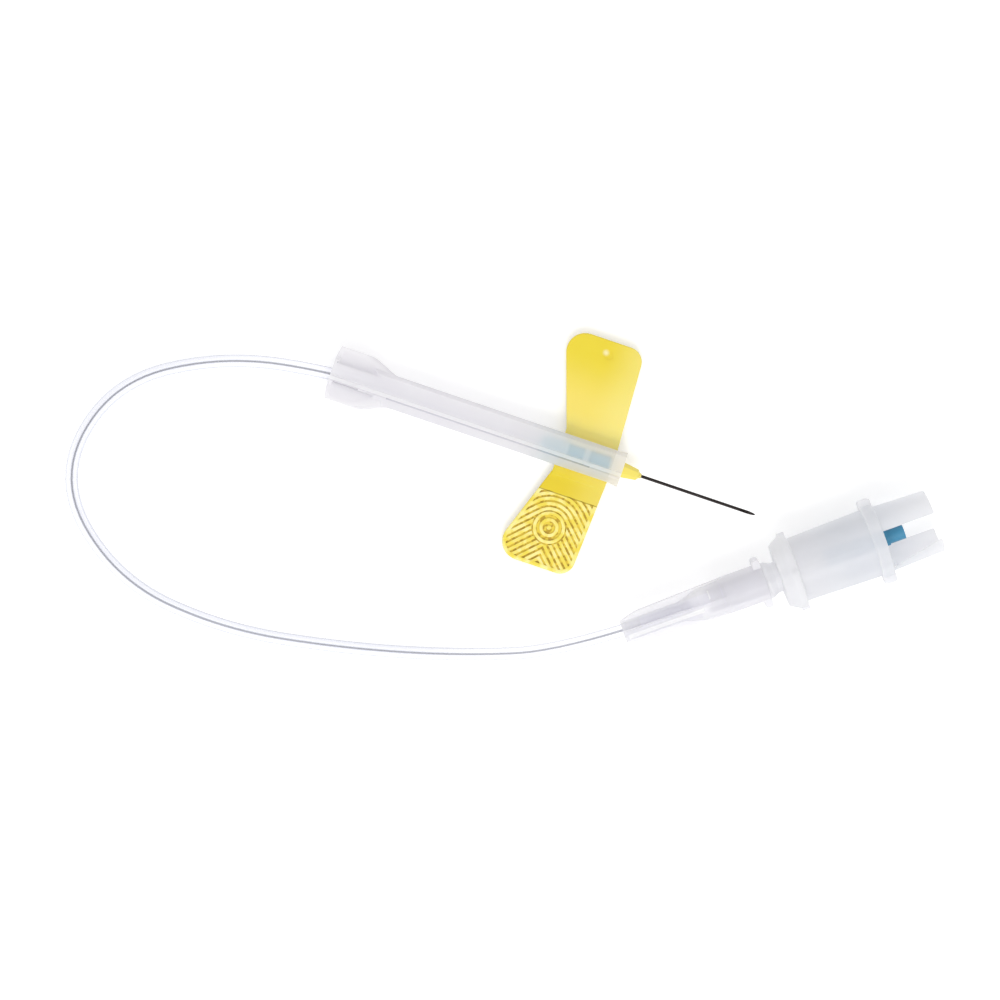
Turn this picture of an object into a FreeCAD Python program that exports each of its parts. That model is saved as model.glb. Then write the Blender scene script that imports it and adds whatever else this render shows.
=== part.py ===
import FreeCAD, Part
import math
import os
import re

import Sketcher

# A winged needle in its sliding shield, with its tube and the adapter on the tube's end, in millimetres.
# The needle points along +X, the wings lie along Y and the table is at Z = 0.

# "behind" is a distance behind the shield's front face, "ahead" one in front of it.
# On the adapter, distances run from the middle of its rear flange towards the fork or the tube.
SIZES = {
    "shield_front": 13.1,  # place of the shield's front face
    "axis_height": 3.0,  # needle and tube over the table
    "seat_gap": 0.02,  # round a needle in moulded plastic
    "socket_gap": 0.03,  # round the tube and the cone in their sockets
    "side_gap": 0.05,  # between the hub and the collar's cheeks
    "slot_gap": 0.15,  # round a wing root in the shield's slot
    "needle_diameter": 0.5,
    "needle_lumen": 0.3,
    "needle_ahead": 22.0,
    "needle_behind": 7.5,
    "bevel_length": 2.8,
    "hub_behind": 2.0,
    "hub_length": 11.5,
    "hub_block_length": 8.3,
    "hub_width": 2.5,
    "hub_rise": 1.15,  # top of the hub over the axis
    "hub_shoulder": 0.4,
    "hub_barrel_diameter": 2.8,
    "hub_socket_depth": 2.0,
    "window_width": 2.0,
    "window_rise": 0.25,
    "front_window_length": 3.1,
    "rear_window_length": 2.8,
    "window_space": 1.3,
    "wing_underside": 1.0,
    "wing_thickness": 0.9,
    "wing_half_span": 18.7,
    "wing_fold": 3.4,  # the fold line's distance from the axis
    "wing_front_root": 1.7,
    "wing_front_tip": 2.5,
    "wing_rear_root": 10.4,
    "wing_rear_tip": 15.65,
    "wing_front_corner": 2.4,
    "wing_rear_corner": 3.0,
    "wing_edge": 0.25,
    "gate_behind": 7.8,
    "gate_out": 16.4,
    "gate_diameter": 1.5,
    "gate_depth": 0.12,
    "grip_start": 6.7,
    "grip_rim": 0.6,
    "grip_depth": 0.3,
    "grip_behind": 8.0,
    "grip_out": 12.3,
    "ridge_width": 0.5,
    "ridge_height": 0.25,
    "ridge_pitch": 0.82,
    "ridge_core": 2.75,
    "core_ring": 1.25,
    "core_ring_outer": 2.3,
    "core_dot": 0.35,
    "root_behind": 1.65,
    "root_length": 8.45,
    "root_reach": 2.85,
    "cheek_thickness": 0.3,
    "cheek_top": 3.6,
    "cheek_behind": 9.0,
    "collar_wall_behind": 0.9,
    "collar_wall": 1.0,
    "collar_wall_top": 4.3,
    "nose_ahead": 2.85,
    "nose_half": 1.35,
    "nose_tip_half": 0.8,
    "nose_facet": 0.45,
    "nose_round": 0.45,
    "shield_length": 48.2,
    "shield_width": 5.2,
    "shield_height": 5.6,
    "shield_wall": 0.8,
    "far_shoulder": 0.6,
    "near_drop": 1.7,
    "rail_inner": 0.5,
    "rail_outer": 1.2,
    "rail_height": 0.15,
    "groove_width": 0.2,
    "groove_depth": 0.4,
    "bore_far_bevel": 0.15,
    "bore_near_bevel": 0.6,
    "shield_foot": 0.5,
    "lip_length": 1.4,
    "lip_flare": 0.25,
    "slot_behind": 1.45,
    "shield_travel": 24.5,
    "slot_spare": 1.0,
    "tail_width": 8.6,
    "tail_straight": 5.9,
    "tail_length": 9.9,
    "tail_height": 3.4,
    "tail_bow": 0.3,
    "tail_curve": 3.4,
    "pad_straight": 4.6,
    "pad_length": 8.9,
    "pad_curve": 3.6,
    "pad_top": 4.6,
    "pad_rim": 0.6,
    "pad_dish": 0.3,
    "ridge_half": 1.5,
    "tube_diameter": 2.0,
    "adapter_x": 54.4,
    "adapter_y": 2.3,
    "adapter_turn": 38.4,
    "flange_radius": 6.0,
    "taper_hub_mouth": 18.7,
    "taper_hub_length": 23.6,
    "taper_hub_radius": 3.0,
    "taper_stem_radius": 1.65,
    "taper_stem_length": 9.6,
    "taper_stem_flare": 3.0,
    "taper_fin_end": 1.75,
    "taper_fin_shoulder": 2.5,
    "taper_fin_run": 2.8,
    "taper_fin_thickness": 0.8,
    "taper_hub_roll": 11.0,
    "taper_lug_reach": 3.9,
    "taper_lug_width": 3.2,
    "taper_lug_thickness": 1.3,
    "taper_lug_round": 0.5,
    "taper_body_length": 6.5,
    "taper_fins_reach": 5.2,  # where the fins run out, behind the mouth
    "taper_step": 0.2,
    "tube_in_hub": 11.3,
    "cone_radius": 2.135,  # at the mouth of its socket
    "cone_length": 9.3,
    "cone_taper": 0.03,  # radius lost over each millimetre
    "cone_end_gap": 0.4,
    "fluid_radius": 0.6,
    "neck_radius": 2.45,
    "neck_gap": 0.06,
    "neck_collar_radius": 2.9,
    "neck_collar_length": 0.5,
    "neck_flare": 0.9,
    "plate_rear": 13.5,
    "plate_thickness": 2.9,
    "plate_face_radius": 5.0,
    "plate_bevel": 1.7,
    "plate_edge": 0.4,
    "plate_nub": 0.35,
    "plate_nub_width": 1.6,
    "spigot_length": 1.2,
    "post_radius": 1.6,
    "post_length": 3.5,
    "post_nub_radius": 0.75,
    "post_nub_length": 2.0,
    "barrel_bore": 4.4,
    "barrel_front_radius": 5.15,
    "barrel_rear_radius": 5.45,
    "flange_front": 1.2,
    "flange_rear": 0.8,
    "flange_edge": 0.3,
    "flange_lug_reach": 6.85,
    "flange_lug_width": 3.4,
    "flange_lug_round": 0.5,
    "fork_length": 8.5,
    "fork_root_radius": 5.3,
    "fork_tip_radius": 5.0,
    "fork_tip_round": 0.25,
    "fork_edge": 1.25,
    "fork_slant_root": 4.7,
    "fork_slant_tip": 2.8,
    "rear_needle_diameter": 0.8,
    "rear_needle_lumen": 0.5,
    "rear_needle_end": 3.0,
    "rear_needle_seat": 2.0,
    "rear_bevel": 1.6,
    "sleeve_diameter": 2.3,
    "sleeve_end": 4.3,
    "sleeve_tip": 0.9,
    "sleeve_step": 2.6,
    "sleeve_step_radius": 1.35,
}

# The tube's route, from the bottom of the hub's socket to the bottom of the taper hub's.
TUBE_ROUTE = [
    (1.6, 0.0, 3.0),
    (-17.0, 0.0, 3.0),
    (-33.0, 0.2, 2.8),
    (-51.8, -2.9, 1.0),
    (-67.5, -12.7, 1.0),
    (-70.6, -30.0, 1.0),
    (-56.7, -42.0, 1.0),
    (-38.3, -43.9, 1.0),
    (-19.7, -40.7, 1.0),
    (-2.1, -36.0, 1.0),
    (14.196, -29.564, 6.0),
    (30.105, -16.955, 6.0),
]

doc = FreeCAD.newDocument("butterfly_needle")
sheet = doc.addObject("Spreadsheet::Sheet", "sizes")
for row, (name, number) in enumerate(SIZES.items(), 1):
    sheet.set(f"A{row}", name)
    sheet.set(f"B{row}", str(number))
    sheet.setAlias(f"B{row}", name)
doc.recompute()


def size(name):
    return float(sheet.get(name))


def bind(thing, field, formula):
    """Ties one field to the sheet, where a formula names sizes by their plain names."""
    named = re.sub(r"[a-z_]+", lambda word: f"sizes.{word[0]}" if word[0] in SIZES else word[0], formula)
    thing.setExpression(field, named)


def piece(name, x="0", y="0", z="0", turn=0.0, roll=0.0):
    """A body whose own origin is at x, y, z, rolled about its X axis and then turned about Z."""
    body = doc.addObject("PartDesign::Body", name)
    body.Label = name
    turned_x = FreeCAD.Rotation(FreeCAD.Vector(1, 0, 0), roll)
    about_z = FreeCAD.Rotation(FreeCAD.Vector(0, 0, 1), turn)
    body.Placement = FreeCAD.Placement(FreeCAD.Vector(), about_z * turned_x)
    for axis, formula in zip("xyz", (x, y, z)):
        bind(body, f"Placement.Base.{axis}", formula)
    return body


def sketchOn(body, plane, shift="0"):
    """A sketch on one of the body's own planes, moved along that plane's normal."""
    sketch = body.newObject("Sketcher::SketchObject", f"{body.Name}_sketch")
    origin = next(feature for feature in body.Origin.OriginFeatures if feature.Role == plane)
    sketch.AttachmentSupport = [(origin, "")]
    sketch.MapMode = "FlatFace"
    bind(sketch, "AttachmentOffset.Base.z", shift)
    return sketch


def fix(sketch, geometry, point, corner):
    for kind, formula in zip(("DistanceX", "DistanceY"), corner):
        index = sketch.addConstraint(Sketcher.Constraint(kind, -1, 1, geometry, point, 1.0))
        bind(sketch, f"Constraints[{index}]", formula)


def outline(sketch, corners):
    """A closed outline of straight sides, whose corners are pairs of formulas."""
    first, count = sketch.GeometryCount, len(corners)
    around = [math.radians(360 * step / count) for step in range(count + 1)]
    points = [FreeCAD.Vector(math.cos(angle), math.sin(angle), 0) for angle in around]
    for start, end in zip(points, points[1:]):
        sketch.addGeometry(Part.LineSegment(start, end))
    for side in range(count):
        after = first + (side + 1) % count
        sketch.addConstraint(Sketcher.Constraint("Coincident", first + side, 2, after, 1))
    for side, corner in enumerate(corners):
        fix(sketch, first + side, 1, corner)


def box(sketch, low, high):
    outline(sketch, [(low[0], low[1]), (high[0], low[1]), (high[0], high[1]), (low[0], high[1])])


def mirrored(corners):
    """The outline of a shape that is the same on both sides of its first axis."""
    return corners + [(along, f"-({out})") for along, out in reversed(corners)]


def circle(sketch, centre, radius):
    index = sketch.addGeometry(Part.Circle(FreeCAD.Vector(), FreeCAD.Vector(0, 0, 1), 1.0))
    fix(sketch, index, 3, centre)
    constraint = sketch.addConstraint(Sketcher.Constraint("Radius", index, 1.0))
    bind(sketch, f"Constraints[{constraint}]", radius)


def volumeOf(body):
    return body.Shape.Volume if body.Tip else 0.0


def confirm(body, made, before, grows):
    """Builds the model again and makes sure that the new feature added or removed material."""
    doc.recompute()
    change = body.Shape.Volume - before
    if "Invalid" in made.State or (change <= 0 if grows else change >= 0):
        raise ValueError(f"{made.Name} changed the volume by {change:.4f}")
    return made


def extrude(body, kind, sketch, length, both, backwards):
    before = volumeOf(body)
    made = body.newObject(f"PartDesign::{kind}", f"{body.Name}_{kind.lower()}")
    made.Profile = sketch
    made.SideType = "Symmetric" if both else "One side"
    made.Reversed = backwards
    bind(made, "Length", length)
    return confirm(body, made, before, kind == "Pad")


def pad(body, sketch, length, both=False):
    """Material along the sketch's normal, or to both sides of it."""
    return extrude(body, "Pad", sketch, length, both, False)


def cut(body, sketch, length, both=False, below=False):
    """The same as a pad, with the material taken away, or taken away against the normal."""
    return extrude(body, "Pocket", sketch, length, both, not both and not below)


def turned(body, kind, corners):
    """A profile of (along X, radius) pairs turned about the body's X axis."""
    before = volumeOf(body)
    sketch = sketchOn(body, "XZ_Plane")
    outline(sketch, corners)
    made = body.newObject(f"PartDesign::{kind}", f"{body.Name}_{kind.lower()}")
    made.Profile = sketch
    made.ReferenceAxis = (sketch, ["H_Axis"])
    made.Angle = 360
    return confirm(body, made, before, kind == "Revolution")


def rounded(body, radius, wanted, kind="Fillet"):
    """Rounds or bevels the edges that wanted(low corner, high corner) picks by their box."""
    names = []
    for index, edge in enumerate(body.Tip.Shape.Edges, 1):
        bounds = edge.BoundBox
        low = FreeCAD.Vector(bounds.XMin, bounds.YMin, bounds.ZMin)
        high = FreeCAD.Vector(bounds.XMax, bounds.YMax, bounds.ZMax)
        if wanted(low, high):
            names.append(f"Edge{index}")
    if not names:
        raise ValueError(f"{body.Name} has no such edge to round")
    base = body.Tip
    made = body.newObject(f"PartDesign::{kind}", f"{body.Name}_{kind.lower()}")
    made.Base = (base, names)
    bind(made, "Radius" if kind == "Fillet" else "Size", radius)
    doc.recompute()
    if "Invalid" in made.State:
        raise ValueError(f"{made.Name} failed")
    return made


def upright(low, high):
    """Whether an edge stands straight up."""
    return high.x - low.x < 0.001 and high.y - low.y < 0.001 and high.z - low.z > 0.05


def fromFront(name):
    return f"shield_front - ({name})"


def makeNeedle():
    body = piece("needle", z="axis_height")
    sketch = sketchOn(body, "YZ_Plane", fromFront("needle_behind"))
    circle(sketch, ("0", "0"), "needle_diameter / 2")
    circle(sketch, ("0", "0"), "needle_lumen / 2")
    pad(body, sketch, "needle_ahead + needle_behind")
    bevel = sketchOn(body, "XZ_Plane")
    tip, half = "shield_front + needle_ahead", "needle_diameter / 2"
    outline(bevel, [(tip, f"-{half}"), (f"{tip} - bevel_length", half), (f"{tip} - bevel_length", "1"),
                    (f"{tip} + 1", "1"), (f"{tip} + 1", f"-{half}")])
    cut(body, bevel, "2 * needle_diameter", both=True)


def makeHub():
    body = piece("needle_hub", z="axis_height")
    front, rear = fromFront("hub_behind"), fromFront("hub_behind + hub_length")
    block = sketchOn(body, "YZ_Plane", fromFront("hub_behind + hub_block_length"))
    low, half = "wing_underside + wing_thickness - axis_height", "hub_width / 2"
    outline(block, [(f"-{half}", low), (half, low), (half, "hub_rise - hub_shoulder"),
                    (f"{half} - hub_shoulder", "hub_rise"), (f"-({half} - hub_shoulder)", "hub_rise"),
                    (f"-{half}", "hub_rise - hub_shoulder")])
    pad(body, block, "hub_block_length")
    barrel = sketchOn(body, "YZ_Plane", rear)
    circle(barrel, ("0", "0"), "hub_barrel_diameter / 2")
    pad(body, barrel, "hub_length - hub_block_length")
    windows = sketchOn(body, "XY_Plane", "hub_rise")
    width = "window_width / 2"
    middle = fromFront("hub_behind + front_window_length")
    box(windows, (middle, f"-{width}"), (front, width))
    behind = f"{middle} - window_space"
    box(windows, (f"{behind} - rear_window_length", f"-{width}"), (behind, width))
    pad(body, windows, "window_rise")
    for start, length, radius in (
        (rear, "hub_length", "needle_lumen / 2"),
        (fromFront("needle_behind"), "needle_behind", "needle_diameter / 2 + seat_gap"),
        (rear, "hub_socket_depth", "tube_diameter / 2 + socket_gap"),
    ):
        bore = sketchOn(body, "YZ_Plane", start)
        circle(bore, ("0", "0"), radius)
        cut(body, bore, length)


def makeCollar():
    body = piece("wing_collar")
    front, rear = fromFront("root_behind"), fromFront("root_behind + root_length")
    half = "hub_width / 2 + side_gap + cheek_thickness"
    wall = fromFront("collar_wall_behind")
    plate = sketchOn(body, "XY_Plane", "wing_underside")
    outline(plate, mirrored([(wall, half), (front, half), (front, "root_reach"), (rear, "root_reach")]))
    pad(body, plate, "wing_thickness")
    upright_part = sketchOn(body, "YZ_Plane", f"{wall} - collar_wall")
    box(upright_part, (f"-({half})", "wing_underside"), (half, "collar_wall_top"))
    pad(body, upright_part, "collar_wall")
    cheeks = sketchOn(body, "YZ_Plane", fromFront("cheek_behind"))
    inner = "hub_width / 2 + side_gap"
    box(cheeks, (inner, "wing_underside"), (half, "cheek_top"))
    box(cheeks, (f"-({half})", "wing_underside"), (f"-({inner})", "cheek_top"))
    pad(body, cheeks, "cheek_behind - collar_wall_behind")
    sections = []
    for place, radius in ((wall, "nose_half"), ("shield_front + nose_ahead", "nose_tip_half")):
        section = sketchOn(body, "YZ_Plane", place)
        flat = f"{radius} * nose_facet"
        around = [(radius, flat), (flat, radius), (f"-{flat}", radius), (f"-{radius}", flat),
                  (f"-{radius}", f"-{flat}"), (f"-{flat}", f"-{radius}"),
                  (flat, f"-{radius}"), (radius, f"-{flat}")]
        outline(section, [(across, f"axis_height + ({up})") for across, up in around])
        sections.append(section)
    nose = body.newObject("PartDesign::AdditiveLoft", "wing_collar_loft")
    nose.Profile = sections[0]
    nose.Sections = sections[1:]
    doc.recompute()
    end = size("shield_front") + size("nose_ahead") - 0.001
    rounded(body, "nose_round", lambda low, high: low.x > end, "Chamfer")
    bore = sketchOn(body, "YZ_Plane", f"{wall} - 2 * collar_wall")
    circle(bore, ("0", "axis_height"), "needle_diameter / 2 + seat_gap")
    cut(body, bore, "collar_wall_behind + nose_ahead + 3 * collar_wall")


def acrossWing(root, tip, out):
    """Where a wing's front or rear edge lies, at a distance out from the needle's axis."""
    share = f"(({out}) - wing_fold) / (wing_half_span - wing_fold)"
    return f"shield_front - ({root} + ({tip} - {root}) * {share})"


def gripField():
    """Corners of the grip's field, set in from the wing's edges."""
    near, far = "grip_start", "wing_half_span - grip_rim"
    front, rear = ("wing_front_root", "wing_front_tip", "-"), ("wing_rear_root", "wing_rear_tip", "+")
    corners = []
    for (root, tip, sign), out in ((front, near), (front, far), (rear, far), (rear, near)):
        corners.append((f"{acrossWing(root, tip, out)} {sign} grip_rim", f"-({out})"))
    return corners


def makeWing(name, side, grip=False):
    body = piece(name)
    sign = "" if side > 0 else "-"
    plan = sketchOn(body, "XY_Plane", "wing_underside")
    outline(plan, [
        (fromFront("wing_front_root"), f"{sign}wing_fold"),
        (fromFront("wing_front_tip"), f"{sign}wing_half_span"),
        (fromFront("wing_rear_tip"), f"{sign}wing_half_span"),
        (fromFront("wing_rear_root"), f"{sign}wing_fold"),
    ])
    pad(body, plan, "wing_thickness")
    ends = [("wing_half_span", "")]
    if grip:
        field = sketchOn(body, "XY_Plane", "wing_underside + wing_thickness - grip_depth")
        outline(field, gripField())
        cut(body, field, "2 * grip_depth")
        ends.append(("wing_half_span - grip_rim", " - grip_rim"))
    middle = size("shield_front") - (size("wing_front_tip") + size("wing_rear_tip")) / 2
    for out, less in ends:
        far = size("wing_half_span") - (size("grip_rim") if less else 0)
        for corner, front in (("wing_front_corner", True), ("wing_rear_corner", False)):
            rounded(body, f"{corner}{less}", lambda low, high: upright(low, high)
                    and abs(abs(low.y) - far) < 0.001 and (low.x > middle) == front)
    top = size("wing_underside") + size("wing_thickness")
    fold, span = size("wing_fold") + 0.001, size("wing_half_span") - 0.001

    def onRim(low, high):
        near, far = sorted((abs(low.y), abs(high.y)))
        return low.z > top - 0.001 and far > fold and (far > span or near < fold)

    rounded(body, "wing_edge", onRim)
    roll = sketchOn(body, "YZ_Plane", fromFront("wing_rear_root"))
    circle(roll, (f"{sign}wing_fold", "wing_underside + wing_thickness / 2"), "wing_thickness / 2")
    pad(body, roll, "wing_rear_root - wing_front_root")
    return body


def makeLeftWing():
    body = makeWing("left_wing", 1)
    mark = sketchOn(body, "XY_Plane", "wing_underside + wing_thickness - gate_depth")
    circle(mark, (fromFront("gate_behind"), "gate_out"), "gate_diameter / 2")
    cut(body, mark, "2 * gate_depth")


def ridgeFace(offset, width, reach):
    """One rib of the grip: two legs at 45 degrees, joined by an arc on the root side or by a sharp corner."""
    lean = math.sqrt(0.5)
    turn = FreeCAD.Rotation(FreeCAD.Vector(0, 1, 0), 180)  # in the plane, this is a mirror
    edges, ends = [], []
    for distance in (offset + width / 2, offset - width / 2):
        radius = max(distance, 0)
        start = FreeCAD.Vector(lean * radius, lean * radius if radius else distance / lean, 0)
        end = start + FreeCAD.Vector(lean, -lean, 0) * reach
        if radius:
            edges.append(Part.Arc(start, FreeCAD.Vector(0, radius, 0), turn.multVec(start)).toShape())
        edges.append(Part.LineSegment(start, end).toShape())
        edges.append(Part.LineSegment(turn.multVec(start), turn.multVec(end)).toShape())
        ends.append(end)
    edges.append(Part.LineSegment(*ends).toShape())
    edges.append(Part.LineSegment(*(turn.multVec(end) for end in ends)).toShape())
    return Part.Face(Part.Wire(Part.__sortEdges__(edges)))


def makeRightWing():
    blank = makeWing("right_wing_blank", -1, grip=True)
    floor = size("wing_underside") + size("wing_thickness") - size("grip_depth")
    field = max((face for face in blank.Shape.Faces if abs(face.CenterOfMass.z - floor) < 0.001),
                key=lambda face: face.Area)
    centre = FreeCAD.Vector(size("shield_front") - size("grip_behind"), -size("grip_out"), floor)
    rise = FreeCAD.Vector(0, 0, size("ridge_height"))
    width, pitch, core = size("ridge_width"), size("ridge_pitch"), size("ridge_core")
    tall = (size("grip_out") - size("grip_start")) / pitch
    deep = (size("wing_half_span") - size("grip_out") + core) / pitch
    hole = Part.makeCylinder(core, rise.z)
    raised = [Part.makeCylinder(size("core_dot"), rise.z)]
    for ring in ("core_ring", "core_ring_outer"):
        outside = Part.makeCylinder(size(ring) + width / 2, rise.z)
        raised.append(outside.cut(Part.makeCylinder(size(ring) - width / 2, rise.z)))
    for step in range(-int(deep), int(tall)):
        rib = ridgeFace(core + width / 2 + step * pitch, width, size("wing_half_span"))
        raised.append(rib.extrude(rise).cut(hole))
    pattern = Part.makeCompound(raised)
    pattern.translate(centre)
    ribs = doc.addObject("Part::Feature", "grip_ribs")
    ribs.Shape = pattern.common(field.extrude(rise))
    wing = doc.addObject("Part::MultiFuse", "right_wing")
    wing.Label = "right_wing"
    wing.Shapes = [blank, ribs]
    doc.recompute()


def makeShield():
    body = piece("shield")
    rear = fromFront("shield_length")
    half = "shield_width / 2"
    tail = sketchOn(body, "XY_Plane")
    outline(tail, mirrored([
        (rear, half),
        (f"{rear} + tail_bow", "tail_width / 2"),
        (f"{rear} + tail_straight", "tail_width / 2"),
        (f"{rear} + tail_length", half),
        (f"{rear} + shield_length / 2", half),
    ]))
    pad(body, tail, "tail_height")
    corner = size("shield_front") - size("shield_length") + size("tail_straight")
    end = size("shield_front") - size("shield_length") + size("tail_length")
    for place in (corner, end):
        rounded(body, "tail_curve", lambda low, high: upright(low, high) and abs(low.x - place) < 0.01)
    section = sketchOn(body, "YZ_Plane", rear)
    foot, deck = "shield_foot", "shield_height - rail_height"
    groove = "rail_outer + groove_width"
    outline(section, [
        (f"-({half} - {foot})", "0"), (f"{half} - {foot}", "0"), (half, foot),
        (half, f"{deck} - far_shoulder"), (f"{half} - far_shoulder", deck),
        ("-rail_inner", deck), ("-(rail_inner + rail_height)", "shield_height"),
        ("-rail_outer", "shield_height"),
        ("-rail_outer", "shield_height - groove_depth"), (f"-({groove})", "shield_height - groove_depth"),
        (f"-({groove})", deck), (f"-({half})", f"{deck} - near_drop"), (f"-({half})", foot),
    ])
    pad(body, section, "shield_length")
    pads = sketchOn(body, "XY_Plane", "tail_height")
    outline(pads, mirrored([
        (rear, half),
        (f"{rear} + tail_bow", "tail_width / 2"),
        (f"{rear} + pad_straight", "tail_width / 2"),
        (f"{rear} + pad_length", half),
    ]))
    pad(body, pads, "pad_top - tail_height")
    corner = size("shield_front") - size("shield_length") + size("pad_straight")
    rounded(body, "pad_curve", lambda low, high: upright(low, high) and abs(low.x - corner) < 0.01)
    dish = sketchOn(body, "XY_Plane", "pad_top - pad_dish")
    for sign in ("", "-"):
        inner, outer = f"{sign}ridge_half", f"{sign}(tail_width / 2 - pad_rim)"
        outline(dish, [
            (f"{rear} + pad_rim", inner), (f"{rear} + pad_rim + tail_bow", outer),
            (f"{rear} + pad_straight", outer), (f"{rear} + pad_length - 2 * pad_rim", inner),
        ])
    cut(body, dish, "shield_height")
    lips = sketchOn(body, "XY_Plane", "wing_underside")
    for sign in ("", "-"):
        outline(lips, [
            (fromFront("lip_length"), f"{sign}{half}"), ("shield_front", f"{sign}({half} + lip_flare)"),
            ("shield_front", f"{sign}({half} - shield_wall / 2)"),
            (fromFront("lip_length"), f"{sign}({half} - shield_wall / 2)"),
        ])
    pad(body, lips, "shield_height - rail_height - near_drop - wing_underside")
    bore = sketchOn(body, "YZ_Plane", f"{rear} - 1")
    inside = "shield_width / 2 - shield_wall"
    top = "shield_height - shield_wall"
    outline(bore, [
        (f"-({inside})", "shield_wall"), (inside, "shield_wall"), (inside, f"{top} - bore_far_bevel"),
        (f"{inside} - bore_far_bevel", top), (f"-({inside} - bore_near_bevel)", top),
        (f"-({inside})", f"{top} - bore_near_bevel"),
    ])
    cut(body, bore, "shield_length + 2")
    funnel = sketchOn(body, "XY_Plane", "shield_wall")
    outline(funnel, mirrored([
        (f"{rear} - 1", "tail_width / 2 - shield_wall"),
        (f"{rear} + tail_straight - shield_wall / 2", "tail_width / 2 - shield_wall"),
        (f"{rear} + tail_length - shield_wall / 2", inside),
    ]))
    cut(body, funnel, "tail_height - shield_wall")
    slots = sketchOn(body, "XZ_Plane")
    slot_rear = "root_behind + root_length + shield_travel + slot_spare"
    box(slots, (fromFront(slot_rear), "wing_underside - slot_gap"),
        (fromFront("slot_behind"), "wing_underside + wing_thickness + slot_gap"))
    cut(body, slots, "2 * shield_width", both=True)


def tubePath(points):
    """Straight runs joined by tangent arcs, each as large as its two runs allow."""
    edges, radii = [], []
    start = points[0]
    for before, corner, after in zip(points, points[1:], points[2:]):
        back, on = (before - corner).normalize(), (after - corner).normalize()
        half_turn = (math.pi - back.getAngle(on)) / 2
        reach = 0.45 * min((before - corner).Length, (after - corner).Length)
        radii.append(reach / math.tan(half_turn))
        first, last = corner + back * reach, corner + on * reach
        middle = corner + (back + on).normalize() * radii[-1] * (1 / math.cos(half_turn) - 1)
        edges += [Part.LineSegment(start, first).toShape(), Part.Arc(first, middle, last).toShape()]
        start = last
    edges.append(Part.LineSegment(start, points[-1]).toShape())
    return Part.Wire(edges), radii


def makeTube():
    path, radii = tubePath([FreeCAD.Vector(*point) for point in TUBE_ROUTE])
    radius = size("tube_diameter") / 2
    first = path.Edges[0]
    section = Part.Wire(Part.makeCircle(radius, first.firstVertex().Point, first.tangentAt(0)))
    tube = doc.addObject("Part::Feature", "tube")
    tube.Label = "tube"
    tube.Shape = path.makePipeShell([section], True, False)
    print("tube bend radii", [round(radius, 1) for radius in radii])
    full = math.pi * radius**2 * path.Length
    print(f"tube length {path.Length:.1f}, volume {tube.Shape.Volume:.2f} of {full:.2f}")


def aroundRim(low, high):
    """Whether an edge runs round the adapter at the radius of its flanges."""
    across = 2 * size("flange_radius") - 0.001
    return high.y - low.y > across and high.z - low.z > across


def adapterPiece(name, roll=0.0):
    return piece(name, "adapter_x", "adapter_y", "flange_radius", size("adapter_turn"), roll)


def makeTubeHub():
    body = adapterPiece("tube_hub", size("taper_hub_roll"))
    mouth, rear = "-taper_hub_mouth", "-(taper_hub_mouth + taper_hub_length)"
    stem = f"{rear} + taper_stem_length"
    whole = f"{mouth} - taper_body_length"
    for plane in ("XZ_Plane", "XY_Plane"):
        fins = sketchOn(body, plane)
        outline(fins, mirrored([
            (rear, "taper_fin_end"), (f"{rear} + taper_fin_run", "taper_fin_shoulder"),
            (f"{mouth} - taper_fins_reach", "taper_hub_radius"),
        ]))
        pad(body, fins, "taper_fin_thickness", both=True)
    turned(body, "Revolution", [
        (rear, "0"), (rear, "taper_stem_radius"), (stem, "taper_stem_radius"),
        (f"{stem} + taper_stem_flare", "taper_hub_radius - 2 * taper_step"),
        (whole, "taper_hub_radius - taper_step"), (whole, "taper_hub_radius"), (mouth, "taper_hub_radius"),
        (mouth, "0"),
    ])
    lugs = sketchOn(body, "YZ_Plane", f"{mouth} - taper_lug_thickness")
    box(lugs, ("-taper_lug_reach", "-taper_lug_width / 2"), ("taper_lug_reach", "taper_lug_width / 2"))
    pad(body, lugs, "taper_lug_thickness")
    reach = size("taper_lug_reach") - 0.001
    rounded(body, "taper_lug_round", lambda low, high: upright(low, high) and abs(low.y) > reach)
    deep = f"{mouth} - cone_length - cone_end_gap"
    socket = "tube_diameter / 2 + socket_gap"
    turned(body, "Groove", [
        (f"{mouth} + 1", "0"), (f"{mouth} + 1", "cone_radius + socket_gap + cone_taper"),
        (deep, "cone_radius + socket_gap - cone_taper * (cone_length + cone_end_gap)"),
        (deep, "fluid_radius"),
        (f"{rear} + tube_in_hub", "fluid_radius"), (f"{rear} + tube_in_hub", socket),
        (f"{rear} - 1", socket), (f"{rear} - 1", "0"),
    ])


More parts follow.
